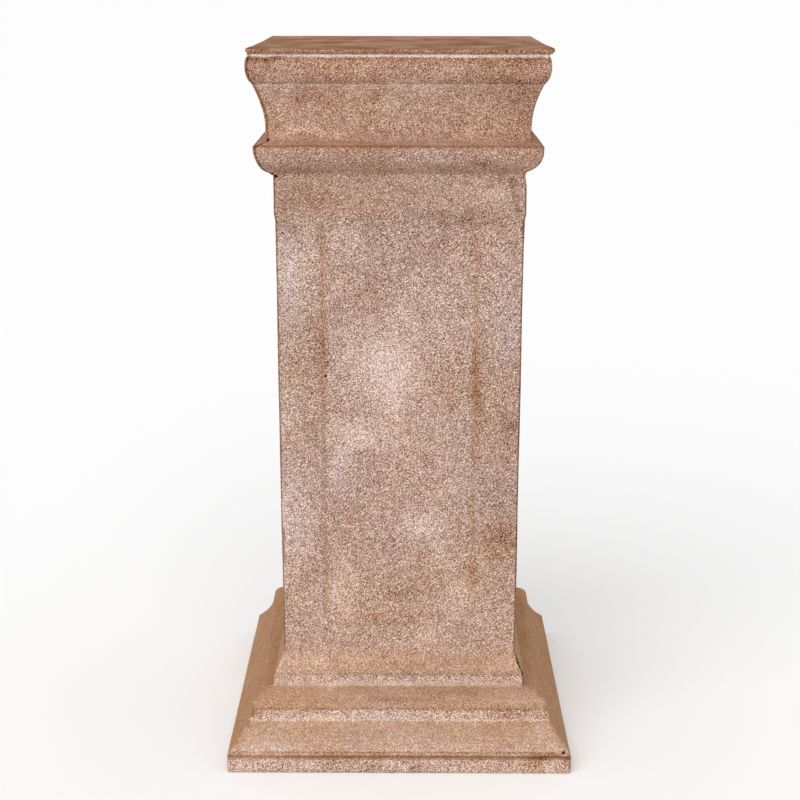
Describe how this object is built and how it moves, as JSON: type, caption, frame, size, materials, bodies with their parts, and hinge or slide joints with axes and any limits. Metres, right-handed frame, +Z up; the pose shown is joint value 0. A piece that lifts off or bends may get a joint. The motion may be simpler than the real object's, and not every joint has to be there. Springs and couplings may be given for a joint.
{
  "type": "pedestal column",
  "caption": "Square pedestal column with a thin top plate, moulded capital, panelled shaft and stepped base, in sponged stone-effect paint. It stands on the floor and carries a vase or a plant.",
  "frame": {"origin": "middle of the plinth's underside, on the floor", "axes": "+Z up along the column, -Y towards the front as pictured, +X to the viewer's right"},
  "size_m": [0.38, 0.38, 0.78],
  "materials": {
    "plate_paint": "matte",
    "capital_paint": "matte",
    "shaft_paint": "matte",
    "base_paint": "matte"
  },
  "bodies": {
    "root": {"top_plate": "plate_paint", "capital": "capital_paint", "shaft": "shaft_paint", "base": "base_paint"}
  },
  "joints": []
}
